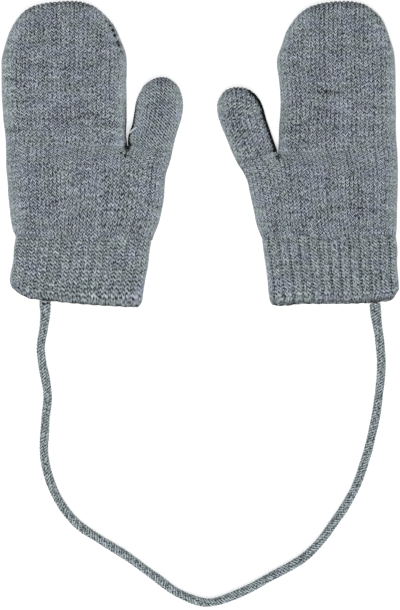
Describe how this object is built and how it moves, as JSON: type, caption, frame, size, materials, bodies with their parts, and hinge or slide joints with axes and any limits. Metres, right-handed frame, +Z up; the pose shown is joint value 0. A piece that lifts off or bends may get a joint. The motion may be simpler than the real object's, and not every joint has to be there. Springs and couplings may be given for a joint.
{
  "type": "pair of baby mittens on a cord",
  "caption": "Pair of knitted baby mittens laid flat, with ribbed cuffs that a knitted cord joins.",
  "frame": {"origin": "midway between the two mittens, on the surface that they lie on, with the cord left out", "axes": "+X across from the left mitten to the right one, +Y from the cuffs to the fingertips, +Z up from the surface"},
  "size_m": [0.1837, 0.2793, 0.0062],
  "materials": {
    "hand_knit": "heather grey stocking stitch, soft and matt",
    "cuff_knit": "heather grey rib, soft and matt",
    "cord_knit": "heather grey knitted cord, soft and matt"
  },
  "bodies": {
    "root": {"left_hand": "hand_knit", "left_thumb": "hand_knit", "left_cuff": "cuff_knit", "right_hand": "hand_knit", "right_thumb": "hand_knit", "right_cuff": "cuff_knit", "cord": "cord_knit"}
  },
  "joints": []
}
